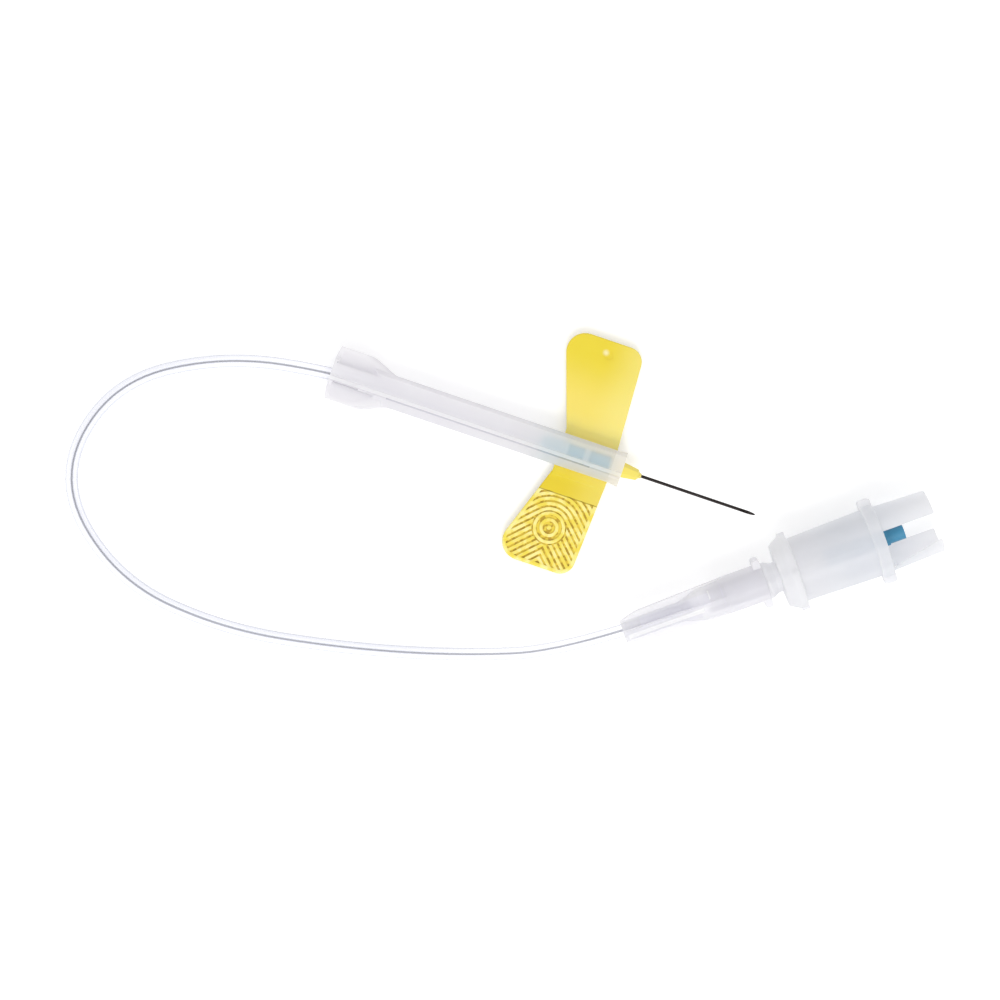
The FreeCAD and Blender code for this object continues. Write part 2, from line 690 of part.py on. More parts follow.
def makeAdapterNose():
    body = adapterPiece("adapter_nose")
    mouth = "-taper_hub_mouth"
    tip = f"{mouth} - cone_length"
    face = "-(plate_rear + plate_thickness)"
    bottom = "-plate_rear + spigot_length + post_length"
    neck = f"{mouth} + neck_gap"
    turned(body, "Revolution", [
        (tip, "0"), (tip, "cone_radius - cone_taper * cone_length"),
        (neck, "cone_radius + cone_taper * neck_gap"), (neck, "neck_collar_radius"),
        (f"{neck} + neck_collar_length", "neck_collar_radius"),
        (f"{neck} + neck_collar_length + neck_flare", "neck_radius"),
        (face, "neck_radius"), (face, "plate_face_radius"),
        (f"{face} + plate_bevel", "flange_radius"), ("-plate_rear", "flange_radius"),
        ("-plate_rear", "barrel_bore - side_gap"),
        ("-plate_rear + spigot_length", "barrel_bore - side_gap"),
        ("-plate_rear + spigot_length", "post_radius"), (bottom, "post_radius"),
        (bottom, "post_nub_radius"),
        (f"{bottom} + post_nub_length", "post_nub_radius"), (f"{bottom} + post_nub_length", "0"),
    ])
    rounded(body, "plate_edge", aroundRim)
    nubs = sketchOn(body, "YZ_Plane", f"{face} + plate_bevel")
    reach = "flange_radius + plate_nub"
    box(nubs, (f"-({reach})", "-plate_nub_width / 2"), (reach, "plate_nub_width / 2"))
    pad(body, nubs, "plate_thickness - plate_bevel")
    seat = f"{bottom} - rear_needle_seat - post_length"
    needle, open_end = "rear_needle_diameter / 2 + seat_gap", f"{bottom} + post_nub_length + 1"
    turned(body, "Groove", [
        (f"{tip} - 1", "0"), (f"{tip} - 1", "fluid_radius"), (seat, "fluid_radius"), (seat, needle),
        (open_end, needle), (open_end, "0"),
    ])


def makeAdapterBody():
    body = adapterPiece("adapter_body")
    tip = "flange_rear + fork_length"
    turned(body, "Revolution", [
        ("-plate_rear", "barrel_bore"), ("-plate_rear", "barrel_front_radius"),
        ("-flange_front", "barrel_rear_radius"), ("-flange_front", "flange_radius"),
        ("flange_rear", "flange_radius"), ("flange_rear", "fork_root_radius"),
        (tip, "fork_tip_radius"), (tip, "barrel_bore"),
    ])
    rounded(body, "flange_edge", aroundRim)
    lugs = sketchOn(body, "YZ_Plane", "-flange_front")
    width = "flange_lug_width / 2"
    for sign in ("", "-"):
        box(lugs, (f"{sign}barrel_rear_radius", f"-{width}"), (f"{sign}flange_lug_reach", width))
    pad(body, lugs, "flange_front + flange_rear")
    reach = size("flange_lug_reach") - 0.001
    rounded(body, "flange_lug_round", lambda low, high: upright(low, high) and abs(low.y) > reach)
    for lean in ("", "-"):
        slot = sketchOn(body, "XY_Plane")
        outline(slot, [
            ("flange_rear", f"{lean}fork_edge"), (f"{tip} + 1", f"{lean}fork_edge"),
            (f"{tip} + 1", f"-({lean}fork_slant_tip)"), (tip, f"-({lean}fork_slant_tip)"),
            ("flange_rear", f"-({lean}fork_slant_root)"),
        ])
        cut(body, slot, "2 * flange_radius", below=lean == "-")
    end = size("flange_rear") + size("fork_length") - 0.001
    rounded(body, "fork_tip_round", lambda low, high: low.x > end)


def makeRearNeedle():
    body = adapterPiece("rear_needle")
    bottom = "-plate_rear + spigot_length + post_length"
    seat = f"{bottom} - rear_needle_seat - post_length"
    sketch = sketchOn(body, "YZ_Plane", seat)
    circle(sketch, ("0", "0"), "rear_needle_diameter / 2")
    circle(sketch, ("0", "0"), "rear_needle_lumen / 2")
    pad(body, sketch, f"rear_needle_end - ({seat})")
    bevel = sketchOn(body, "XZ_Plane")
    half = "rear_needle_diameter / 2"
    outline(bevel, [
        ("rear_needle_end", f"-{half}"), ("rear_needle_end - rear_bevel", half),
        ("rear_needle_end - rear_bevel", "1"), ("rear_needle_end + 1", "1"),
        ("rear_needle_end + 1", f"-{half}"),
    ])
    cut(body, bevel, "2 * rear_needle_diameter", both=True)


def makeSleeve():
    body = adapterPiece("valve_sleeve")
    start = "-plate_rear + spigot_length + post_length"
    bore = "rear_needle_diameter / 2 + side_gap"
    turned(body, "Revolution", [
        (start, "post_nub_radius + side_gap"), (start, "sleeve_step_radius"),
        ("sleeve_end - sleeve_step", "sleeve_step_radius"),
        ("sleeve_end - sleeve_step", "sleeve_diameter / 2"),
        ("sleeve_end", "sleeve_diameter / 2"), ("sleeve_end", "0"), ("sleeve_end - sleeve_tip", "0"),
        ("sleeve_end - sleeve_tip", bore), (f"{start} + post_nub_length + side_gap", bore),
        (f"{start} + post_nub_length + side_gap", "post_nub_radius + side_gap"),
    ])


makeNeedle()
makeHub()
makeCollar()
makeLeftWing()
makeRightWing()
makeShield()
makeTube()
makeTubeHub()
makeAdapterNose()
makeAdapterBody()
makeRearNeedle()
makeSleeve()
doc.recompute()

PIECES = ["needle", "needle_hub", "wing_collar", "left_wing", "right_wing", "shield", "tube", "tube_hub",
          "adapter_nose", "adapter_body", "rear_needle", "valve_sleeve"]
for thing in doc.Objects:
    if "Invalid" in thing.State or "Error" in thing.State:
        raise ValueError(f"{thing.Name} was not built: {thing.State}")
os.makedirs("parts", exist_ok=True)
for name in PIECES:
    shape = doc.getObject(name).Shape
    if shape.isNull() or not shape.isValid() or len(shape.Solids) != 1:
        raise ValueError(f"{name} is not one valid solid")
    shape.exportStep(f"parts/{name}.step")
    print(name, f"{shape.Volume:.2f}")
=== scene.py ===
import math

import bpy
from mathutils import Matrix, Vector


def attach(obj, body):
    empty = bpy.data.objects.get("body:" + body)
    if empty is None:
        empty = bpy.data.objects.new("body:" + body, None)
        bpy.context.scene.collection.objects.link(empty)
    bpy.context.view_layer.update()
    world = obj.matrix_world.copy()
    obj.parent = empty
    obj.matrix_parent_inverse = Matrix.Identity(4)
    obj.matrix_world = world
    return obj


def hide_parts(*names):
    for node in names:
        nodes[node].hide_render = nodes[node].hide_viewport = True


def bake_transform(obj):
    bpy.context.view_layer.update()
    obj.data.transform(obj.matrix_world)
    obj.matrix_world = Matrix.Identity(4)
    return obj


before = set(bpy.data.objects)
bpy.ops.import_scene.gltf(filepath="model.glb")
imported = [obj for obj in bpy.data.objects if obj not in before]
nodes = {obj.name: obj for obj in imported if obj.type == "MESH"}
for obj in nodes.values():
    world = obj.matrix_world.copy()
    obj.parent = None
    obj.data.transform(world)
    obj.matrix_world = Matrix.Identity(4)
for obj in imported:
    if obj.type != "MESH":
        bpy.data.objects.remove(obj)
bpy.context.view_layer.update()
mm = 0.001
print("frame loaded:", len(nodes), "nodes")

# camera: straight down on the table, the needle pointing down to the right as in the photograph
cameraSettings = {
    "aim": (-3.59 * mm, -10.64 * mm, 3.0 * mm),
    "height": 0.70,
    "seenWidth": 0.157,
    "turn": 18.7,
    "sensor": 36.0,
    "clipStart": 0.01,
}
view = bpy.data.cameras.new("camera")
view.sensor_width = cameraSettings["sensor"]
view.lens = cameraSettings["sensor"] * cameraSettings["height"] / cameraSettings["seenWidth"]
view.clip_start = cameraSettings["clipStart"]
camera = bpy.data.objects.new("camera", view)
bpy.context.scene.collection.objects.link(camera)
camera.location = Vector(cameraSettings["aim"]) + Vector((0, 0, cameraSettings["height"]))
camera.rotation_euler = (0, 0, math.radians(cameraSettings["turn"]))
bpy.context.scene.camera = camera
bpy.context.scene.view_settings.view_transform = "Standard"


def linear(hexColour):
    # sRGB hex to the linear colour that shaders work in
    values = [int(hexColour[i:i + 2], 16) / 255 for i in (1, 3, 5)]
    return [v / 12.92 if v <= 0.04045 else ((v + 0.055) / 1.055) ** 2.4 for v in values] + [1.0]


def addNode(owner, kind, settings=None, inputs=None):
    # one node with its settings; an input is a number or colour, or the output that feeds it
    node = owner.node_tree.nodes.new(kind)
    for name, value in (settings or {}).items():
        setattr(node, name, value)
    for name, value in (inputs or {}).items():
        if isinstance(value, bpy.types.NodeSocket):
            owner.node_tree.links.new(value, node.inputs[name])
        else:
            node.inputs[name].default_value = value
    return node


def compute(owner, operation, *values):
    node = addNode(owner, "ShaderNodeMath", {"operation": operation}, dict(enumerate(values)))
    return node.outputs["Value"]


def remap(owner, value, start, end, low=0.0, high=1.0, curve="LINEAR"):
    # goes from low to high while the value goes from start to end
    node = addNode(owner, "ShaderNodeMapRange", {"interpolation_type": curve}, {
        "Value": value, "From Min": start, "From Max": end, "To Min": low, "To Max": high})
    return node.outputs["Result"]


def mixColour(owner, share, first, second):
    # colours as hex, or as the outputs that give them
    first, second = [linear(tone) if isinstance(tone, str) else tone for tone in (first, second)]
    node = addNode(owner, "ShaderNodeMix", {"data_type": "RGBA"}, {0: share, 6: first, 7: second})
    return node.outputs[2]


def mixNumber(owner, share, first, second):
    node = addNode(owner, "ShaderNodeMix", {"data_type": "FLOAT"}, {0: share, 2: first, 3: second})
    return node.outputs[0]


def noise(material, place, spacing, detail=2.0, distortion=0.0):
    node = addNode(material, "ShaderNodeTexNoise", inputs={
        "Vector": place, "Scale": 1 / spacing, "Detail": detail, "Distortion": distortion})
    return node.outputs["Fac"]


def bump(material, height, look):
    node = addNode(material, "ShaderNodeBump", inputs={
        "Height": height, "Strength": look["bump"], "Distance": look["bumpDepth"]})
    return node.outputs["Normal"]


def separate(material, vector):
    return addNode(material, "ShaderNodeSeparateXYZ", inputs={"Vector": vector}).outputs


def insideRange(material, value, low, high, blur):
    # 1 where the value lies from low to high, falling to 0 over the blur at both ends
    up = remap(material, value, low - blur / 2, low + blur / 2)
    down = remap(material, value, high - blur / 2, high + blur / 2, 1.0, 0.0)
    return compute(material, "MULTIPLY", up, down)


def emptyMaterial(name):
    material = bpy.data.materials.new(name)
    material.use_nodes = True
    material.node_tree.nodes.clear()
    return material


def surface(material, shader):
    addNode(material, "ShaderNodeOutputMaterial", inputs={"Surface": shader})
    return material


# ground and drawn stainless steel: fine lines along the tube, its colour painted dark as a painted reflection
# of dark surroundings
steel = {"light": "#3F3A39", "dark": "#171314", "roughness": 0.32,
         "lineSpacing": 0.09 * mm, "lineStretch": 0.04, "bump": 0.25, "bumpDepth": 0.01 * mm}


def makeSteel():
    material = emptyMaterial("drawnStainlessSteel")
    place = addNode(material, "ShaderNodeTexCoord").outputs["Object"]
    stretch = addNode(material, "ShaderNodeMapping", inputs={
        "Vector": place, "Scale": (steel["lineStretch"], 1, 1)})
    lines = noise(material, stretch.outputs["Vector"], steel["lineSpacing"])
    shader = addNode(material, "ShaderNodeBsdfPrincipled", inputs={
        "Base Color": mixColour(material, lines, steel["dark"], steel["light"]), "Metallic": 1.0,
        "Roughness": steel["roughness"], "Normal": bump(material, lines, steel)})
    return surface(material, shader.outputs["BSDF"])


# soft PVC, injection moulded: satin, a little light goes in, paler towards the roots and the front; towards
# the wing's root the paler tones are painted light that lifts the shade beside the shield;
# across each piece the outer tone goes as far as outerTo, and the next two are full from innerTo and rootTo
vinyl = {
    "wing": {"colour": "#EFDB35", "deep": "#EAD22A", "inner": "#F7E16A", "root": "#FFEC80",
             "outerTo": 16.0 * mm, "innerTo": 7.0 * mm, "rootTo": 3.2 * mm, "frontShare": 0.5,
             "glint": "#FBF3C4", "glintAt": (4.8 * mm, 16.65 * mm, 1.9 * mm), "glintSize": 0.72 * mm},
    "grip": {"colour": "#EDD528", "deep": "#E6CC1E", "inner": "#EDD528", "root": "#EED83C",
             "outerTo": -5.0 * mm, "innerTo": -4.0 * mm, "rootTo": -3.0 * mm, "frontShare": 0.3,
             # the grip's brightest crest tone is a painted highlight; its groove tones and the last, darkest
             # line tone are painted shade
             "crestHighlight": "#FFF298", "crestDeep": "#F5E052", "groove": "#F1DA4A", "pit": "#C4A226",
             "stepShade": "#B7A02A"},
    "body": {"colour": "#F2E05A", "deep": "#EAD545", "inner": "#EFDB4A", "root": "#EFDB4A",
             "outerTo": 3.0 * mm, "innerTo": 0.0, "rootTo": -3.0 * mm, "frontShare": 0.3},
    "front": "#FBEF95", "frontFrom": 4.5 * mm, "frontTo": 11.5 * mm,
    "upFrom": 0.5,  # least upward part of the normal on a face that looks up
    "floor": 1.62 * mm, "top": 1.83 * mm,  # heights of the grip's grooves and ribs
    "fieldStart": -6.72 * mm, "stepShadeWidth": 0.16 * mm,
    "pitSpacing": 0.8 * mm, "pitFrom": 0.46, "pitTo": 0.58,
    "crestPatch": 1.6 * mm, "crestFrom": 0.4, "crestTo": 0.6,
    "mottle": 5.0 * mm, "grain": 0.12 * mm, "bump": 0.2, "bumpDepth": 0.02 * mm,
    "roughness": 0.36, "ior": 1.53, "lightIn": 0.2, "lightColours": (1.0, 0.8, 0.15), "lightDepth": 0.4 * mm,
}


def gripRelief(material, tones, place, axes, faceUp, colour):
    # painted highlight on the crests and painted shade in the grooves, by height, darker in noise spots, and
    # a painted shade line along the step where the field begins
    beyond = compute(material, "LESS_THAN", axes["Y"], vinyl["fieldStart"])
    inField = compute(material, "MULTIPLY", beyond, faceUp)
    # painted shade in the grooves, by height, deeper in noise spots
    depth = remap(material, axes["Z"], vinyl["floor"], vinyl["top"], 1.0, 0.0)
    spots = noise(material, place, vinyl["pitSpacing"], detail=1.0)
    pits = remap(material, spots, vinyl["pitFrom"], vinyl["pitTo"])
    # painted highlight on the crests, broken in noise patches
    patches = noise(material, place, vinyl["crestPatch"])
    highlightGaps = remap(material, patches, vinyl["crestFrom"], vinyl["crestTo"])
    grooves = mixColour(material, pits, tones["groove"], tones["pit"])
    crests = mixColour(material, highlightGaps, tones["crestHighlight"], tones["crestDeep"])
    colour = mixColour(material, inField, colour, mixColour(material, depth, crests, grooves))
    # painted shade line along the step where the grip's field begins
    stepShade = insideRange(material, axes["Y"], vinyl["fieldStart"] - vinyl["stepShadeWidth"], vinyl["fieldStart"],
                       vinyl["stepShadeWidth"] / 2)
    return mixColour(material, compute(material, "MULTIPLY", stepShade, faceUp), colour, tones["stepShade"])


def makeVinyl(name, tones):
    material = emptyMaterial(name)
    coordinates = addNode(material, "ShaderNodeTexCoord").outputs
    place = coordinates["Object"]
    axes = separate(material, place)
    turned = separate(material, coordinates["Normal"])
    faceUp = compute(material, "GREATER_THAN", turned["Z"], vinyl["upFrom"])
    mottle = noise(material, place, vinyl["mottle"], detail=3.0)
    # on the wing, the inner and root tones are painted light that lifts the shade the shield throws beside it
    toInner = remap(material, axes["Y"], tones["outerTo"], tones["innerTo"], curve="SMOOTHSTEP")
    toRoot = remap(material, axes["Y"], tones["innerTo"], tones["rootTo"], curve="SMOOTHSTEP")
    toFront = remap(material, axes["X"], vinyl["frontFrom"], vinyl["frontTo"], 0.0, tones["frontShare"],
                    curve="SMOOTHSTEP")
    colour = mixColour(material, mottle, tones["colour"], tones["deep"])
    colour = mixColour(material, toInner, colour, tones["inner"])
    colour = mixColour(material, toRoot, colour, tones["root"])
    colour = mixColour(material, toFront, colour, vinyl["front"])
    if "glint" in tones:
        reach = addNode(material, "ShaderNodeVectorMath", {"operation": "DISTANCE"}, {
            0: place, 1: tones["glintAt"]}).outputs["Value"]
        near = remap(material, reach, 0.0, tones["glintSize"], 1.0, 0.0, curve="SMOOTHSTEP")
        colour = mixColour(material, compute(material, "MULTIPLY", near, faceUp), colour, tones["glint"])
    if "groove" in tones:
        colour = gripRelief(material, tones, place, axes, faceUp, colour)
    grain = noise(material, place, vinyl["grain"])
    shader = addNode(material, "ShaderNodeBsdfPrincipled", inputs={
        "Base Color": colour, "Roughness": vinyl["roughness"], "IOR": vinyl["ior"],
        "Subsurface Weight": vinyl["lightIn"], "Subsurface Radius": vinyl["lightColours"],
        "Subsurface Scale": vinyl["lightDepth"], "Normal": bump(material, grain, vinyl)})
    return surface(material, shader.outputs["BSDF"])


# natural polypropylene, moulded: milky and waxy, what lies behind a thin wall shows faintly;
# see and edge are the shares seen through a wall straight on and at a slant;
# marks are tones on rectangles in mm, on what lies above the deck, each with its share of cover
milky = {
    "shield": {
        "colour": "#FBF9FC", "shade": "#F3F1F6", "see": 0.14, "edge": 0.08, "deck": 4.9 * mm,
        # two thin clear windows in the roof, through which the hub is seen
        "windows": ({"x": (4.0, 6.6), "y": (-0.66, 1.3)}, {"x": (7.5, 10.9), "y": (-0.66, 1.4)}),
        "marks": (
            {"tone": "#F6F4F9", "x": (11.3, 20.0), "y": (-4.0, 4.0), "cover": 0.97},  # thicker front end
            {"tone": "#FFFFFF", "x": (-40.0, 20.0), "y": (-1.2, -0.66), "cover": 1.0},  # rail, painted white as its highlight
            {"tone": "#E2E0E7", "x": (-25.6, 8.0), "y": (-1.42, -1.2), "cover": 0.7},  # painted shade in the groove beside it
            {"tone": "#B4B2BA", "x": (-34.6, -29.3), "y": (1.55, 1.78), "cover": 0.9},  # painted shade lines along the steps in the tail
            {"tone": "#B4B2BA", "x": (-34.3, -30.2), "y": (-1.6, -1.38), "cover": 0.9},
        ),
    },
    "adapter": {"colour": "#F6F6F8", "shade": "#EBEBEF", "see": 0.12, "edge": 0.05},
    "taper": {
        "colour": "#F3F2F6", "shade": "#E6E5EA", "see": 0.26, "edge": 0.08, "deck": 6.1 * mm,
        "turn": -38.4, "shift": (-1.763 * mm, 31.986 * mm, 0.0),  # X from the tube's end along the taper hub
        "marks": (
            {"tone": "#EBEAF1", "x": (3.0, 14.3), "y": (-0.45, 1.4), "cover": 0.82, "blur": 0.2},  # painted shade on the panels
            {"tone": "#E6E5EC", "x": (1.6, 12.6), "y": (-1.95, -1.4), "cover": 0.85, "blur": 0.2},
            {"tone": "#FFFFFF", "x": (0.6, 13.0), "y": (-1.35, -0.75), "cover": 0.97, "blur": 0.2},  # painted highlight on the ridge
            {"tone": "#FFFFFF", "x": (14.3, 14.55), "y": (0.3, 1.7), "cover": 0.97},  # painted highlight at the end of the upper panel
            {"tone": "#DCDAE2", "x": (16.4, 16.55), "y": (-1.6, 2.3), "cover": 0.9},  # painted shade line at the edge of the socket
        ),
    },
    "windowBlur": 0.5, "windowSee": 0.34, "markBlur": 0.08,
    "within": 0.12,  # share of the wall's cover that its inner face keeps
    "slant": 0.35, "glow": 0.45, "flow": 7.0 * mm, "flowBend": 0.6,
    "roughness": 0.3, "ior": 1.49, "grain": 0.15 * mm, "bump": 0.12, "bumpDepth": 0.02 * mm,
    "lightIn": 1.0, "lightColours": (1.0, 1.0, 1.0), "lightDepth": 0.8 * mm,
}


def patch(material, axes, area, blur, deck):
    # 1 on a rectangle of what lies above the deck, 0 elsewhere
    acrossX = insideRange(material, axes["X"], area["x"][0] * mm, area["x"][1] * mm, blur * mm)
    acrossY = insideRange(material, axes["Y"], area["y"][0] * mm, area["y"][1] * mm, blur * mm)
    onRoof = compute(material, "GREATER_THAN", axes["Z"], deck)
    return compute(material, "MULTIPLY", compute(material, "MULTIPLY", acrossX, acrossY), onRoof)


def makeMilky(name, tones):
    material = emptyMaterial(name)
    place = addNode(material, "ShaderNodeTexCoord").outputs["Object"]
    flow = noise(material, place, milky["flow"], detail=3.0, distortion=milky["flowBend"])
    colour = mixColour(material, flow, tones["colour"], tones["shade"])
    tilt = addNode(material, "ShaderNodeLayerWeight", inputs={"Blend": milky["slant"]}).outputs["Facing"]
    cover = remap(material, tilt, 0.0, 1.0, 1 - tones["see"], 1 - tones["edge"])
    if "marks" in tones:
        local = addNode(material, "ShaderNodeMapping", inputs={
            "Vector": place, "Rotation": (0, 0, math.radians(tones.get("turn", 0))),
            "Location": tones.get("shift", (0, 0, 0))})
        axes = separate(material, local.outputs["Vector"])
        for window in tones.get("windows", ()):
            share = patch(material, axes, window, milky["windowBlur"], tones["deck"])
            cover = mixNumber(material, share, cover, 1 - milky["windowSee"])
        for mark in tones["marks"]:
            share = patch(material, axes, mark, mark.get("blur", milky["markBlur"]), tones["deck"])
            colour = mixColour(material, share, colour, mark["tone"])
            cover = mixNumber(material, share, cover, mark["cover"])
    grain = noise(material, place, milky["grain"])
    shader = addNode(material, "ShaderNodeBsdfPrincipled", inputs={
        "Base Color": colour, "Roughness": milky["roughness"], "IOR": milky["ior"],
        "Subsurface Weight": milky["lightIn"], "Subsurface Radius": milky["lightColours"],
        "Subsurface Scale": milky["lightDepth"], "Normal": bump(material, grain, milky)})
    through = addNode(material, "ShaderNodeBsdfTranslucent", inputs={"Color": colour})
    wall = addNode(material, "ShaderNodeMixShader", inputs={
        0: milky["glow"], 1: shader.outputs["BSDF"], 2: through.outputs["BSDF"]})
    clear = addNode(material, "ShaderNodeBsdfTransparent", inputs={"Color": (1, 1, 1, 1)})
    side = addNode(material, "ShaderNodeNewGeometry").outputs["Backfacing"]
    kept = compute(material, "MULTIPLY", cover, remap(material, side, 0.0, 1.0, 1.0, milky["within"]))
    mixed = addNode(material, "ShaderNodeMixShader", inputs={
        0: kept, 1: clear.outputs["BSDF"], 2: wall.outputs["Shader"]})
    return surface(material, mixed.outputs["Shader"])


# pale blue ABS, moulded glossy
paleBlue = {"colour": "#6FC0D2", "deep": "#58AEC3", "roughness": 0.25, "ior": 1.54, "mottle": 2.5 * mm}


def makePaleBlue():
    material = emptyMaterial("mouldedPaleBlueAbs")
    place = addNode(material, "ShaderNodeTexCoord").outputs["Object"]
    mottle = noise(material, place, paleBlue["mottle"])
    shader = addNode(material, "ShaderNodeBsdfPrincipled", inputs={
        "Base Color": mixColour(material, mottle, paleBlue["colour"], paleBlue["deep"]),
        "Roughness": paleBlue["roughness"], "IOR": paleBlue["ior"]})
    return surface(material, shader.outputs["BSDF"])


# clear plasticised PVC, extruded thick: nearly unseen from above and hazier on its flanks, whose grey tone is
# painted shade;
# its fine bore shows as a grey line along the middle from every side
clearTube = {
    "colour": "#DDE2EF", "deep": "#CFD5E6", "haze": 9.0 * mm, "tint": "#FDFDFF",
    "roughness": 0.12, "ior": 1.53,
    "slant": 0.5,  # keeps the facing at 1 less the slope, which the bore's line is worked out from
    "middle": 0.08, "edge": 0.9, "edgePower": 2.2,  # cover of the wall
    "bore": "#6E6E76", "boreFaint": "#A6A8B3", "boreChange": 45.0 * mm,
    "boreSide": 0.053, "boreMost": 1.06, "boreSharp": 1.7, "boreCover": 0.9,
    # the flank tone is painted shade on the tube's sides, where the tube also hazes more
    "flank": "#B2B9CB", "flankLow": 0.4, "flankHigh": 0.74, "flankCover": 0.5,
}


def boreShare(material, tilt):
    # how far from the middle a point looks: its slope over the greatest that this stretch of tube can have
    run = addNode(material, "ShaderNodeTangent", {"direction_type": "UV_MAP"}).outputs["Tangent"]
    endOn = addNode(material, "ShaderNodeLayerWeight", inputs={"Blend": clearTube["slant"], "Normal": run})
    lean = compute(material, "SUBTRACT", 1.0, endOn.outputs["Facing"])
    greatest = compute(material, "SQRT", compute(
        material, "SUBTRACT", 1.0, compute(material, "MULTIPLY", lean, lean)))
    level = compute(material, "DIVIDE", compute(material, "SUBTRACT", 1.0, tilt), greatest)
    # a level well over 1 only comes where both slopes are usual values, and no bore is drawn there
    drawn = compute(material, "LESS_THAN", level, clearTube["boreMost"])
    onBore = remap(material, level, 1 - clearTube["boreSide"], 1.0, 0.0, drawn)
    return compute(material, "POWER", onBore, clearTube["boreSharp"])


def makeClearTube():
    material = emptyMaterial("extrudedClearPvc")
    coordinates = addNode(material, "ShaderNodeTexCoord").outputs
    place = coordinates["Object"]
    tilt = addNode(material, "ShaderNodeLayerWeight", inputs={"Blend": clearTube["slant"]}).outputs["Facing"]
    bored = boreShare(material, tilt)
    upright = compute(material, "ABSOLUTE", separate(material, coordinates["Normal"])["Z"])
    # painted shade on the flanks: greyer where the normal leans away from up and down
    flank = remap(material, upright, clearTube["flankLow"], clearTube["flankHigh"], 1.0, 0.0,
                  curve="SMOOTHSTEP")
    haze = noise(material, place, clearTube["haze"])
    change = noise(material, place, clearTube["boreChange"], detail=0.0)
    body = mixColour(material, haze, clearTube["colour"], clearTube["deep"])
    boreTone = mixColour(material, change, clearTube["bore"], clearTube["boreFaint"])
    colour = mixColour(material, bored, mixColour(material, flank, body, clearTube["flank"]), boreTone)
    shader = addNode(material, "ShaderNodeBsdfPrincipled", inputs={
        "Base Color": colour, "Roughness": clearTube["roughness"], "IOR": clearTube["ior"]})
    clear = addNode(material, "ShaderNodeBsdfTransparent", inputs={"Color": linear(clearTube["tint"])})
    wall = remap(material, compute(material, "POWER", tilt, clearTube["edgePower"]), 0.0, 1.0,
                 clearTube["middle"], clearTube["edge"])
    hazed = compute(material, "MAXIMUM", wall, compute(material, "MULTIPLY", flank, clearTube["flankCover"]))
    share = compute(material, "MAXIMUM", hazed, compute(material, "MULTIPLY", bored, clearTube["boreCover"]))
    side = addNode(material, "ShaderNodeNewGeometry").outputs["Backfacing"]
    cover = compute(material, "MULTIPLY", share, compute(material, "SUBTRACT", 1.0, side))
    mixed = addNode(material, "ShaderNodeMixShader", inputs={
        0: cover, 1: clear.outputs["BSDF"], 2: shader.outputs["BSDF"]})
    return surface(material, mixed.outputs["Shader"])


# blue isoprene rubber, moulded: satin, powdery grain
rubber = {"colour": "#4390B4", "deep": "#337FA2", "roughness": 0.5, "ior": 1.52, "grain": 0.2 * mm,
          "bump": 0.3, "bumpDepth": 0.03 * mm}


def makeRubber():
    material = emptyMaterial("mouldedBlueRubber")
    place = addNode(material, "ShaderNodeTexCoord").outputs["Object"]
    grain = noise(material, place, rubber["grain"], detail=3.0)
    shader = addNode(material, "ShaderNodeBsdfPrincipled", inputs={
        "Base Color": mixColour(material, grain, rubber["colour"], rubber["deep"]),
        "Roughness": rubber["roughness"], "IOR": rubber["ior"], "Normal": bump(material, grain, rubber)})
    return surface(material, shader.outputs["BSDF"])


# cured epoxy: glossy, slightly yellow, with fine dust in it
glue = {"colour": "#F0E07C", "deep": "#E6D25C", "roughness": 0.15, "ior": 1.55, "dust": 0.1 * mm}


def makeGlue():
    material = emptyMaterial("curedEpoxy")
    place = addNode(material, "ShaderNodeTexCoord").outputs["Object"]
    dust = noise(material, place, glue["dust"])
    shader = addNode(material, "ShaderNodeBsdfPrincipled", inputs={
        "Base Color": mixColour(material, dust, glue["colour"], glue["deep"]),
        "Roughness": glue["roughness"], "IOR": glue["ior"]})
    return surface(material, shader.outputs["BSDF"])


# the free tube: one loose loop from the hub to the taper hub
tubeSettings = {
    "diameter": 2.0 * mm,
    "length": 198.7 * mm,
    "order": 3,
    "resolution": 10,
    "roundness": 6,
    "route": [  # mm, as in the part's source
        (1.6, 0.0, 3.0),
        (-17.0, 0.0, 3.0),
        (-33.0, 0.2, 2.8),
        (-51.8, -2.9, 1.0),
        (-67.5, -12.7, 1.0),
        (-70.6, -30.0, 1.0),
        (-56.7, -42.0, 1.0),
        (-38.3, -43.9, 1.0),
        (-19.7, -40.7, 1.0),
        (-2.1, -36.0, 1.0),
        (14.196, -29.564, 6.0),
        (30.105, -16.955, 6.0),
    ],
}


def makeTube():
    curve = bpy.data.curves.new("infusionTube", "CURVE")
    curve.dimensions = "3D"
    curve.resolution_u = tubeSettings["resolution"]
    # the thickness comes from the points' radius, because the curve's box is right only then
    curve.bevel_depth = 1.0
    curve.bevel_resolution = tubeSettings["roundness"]
    curve.use_fill_caps = True
    spline = curve.splines.new("NURBS")
    spline.points.add(len(tubeSettings["route"]) - 1)
    for point, place in zip(spline.points, tubeSettings["route"]):
        point.co = (*(value * mm for value in place), 1)
        point.radius = tubeSettings["diameter"] / 2
    spline.order_u = tubeSettings["order"]
    spline.use_endpoint_u = True
    tube = bpy.data.objects.new("infusionTube", curve)
    bpy.context.scene.collection.objects.link(tube)
    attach(tube, "carrier")
    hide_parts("tube")
    return tube


# the thin root of each wing, where the real wing folds; here it stays straight
rootSettings = {
    "inner": 2.45 * mm, "outer": 4.1 * mm, "rear": 2.72 * mm, "front": 11.38 * mm,
    "low": 0.985 * mm, "high": 1.912 * mm, "cuts": 11,
    "edge": 0.1 * mm, "edgeSegments": 3, "smoothUnder": 40,
    "bendStart": 2.75 * mm, "bendEnd": 3.95 * mm, "bendX": 7.2 * mm, "bendZ": 1.45 * mm,
}


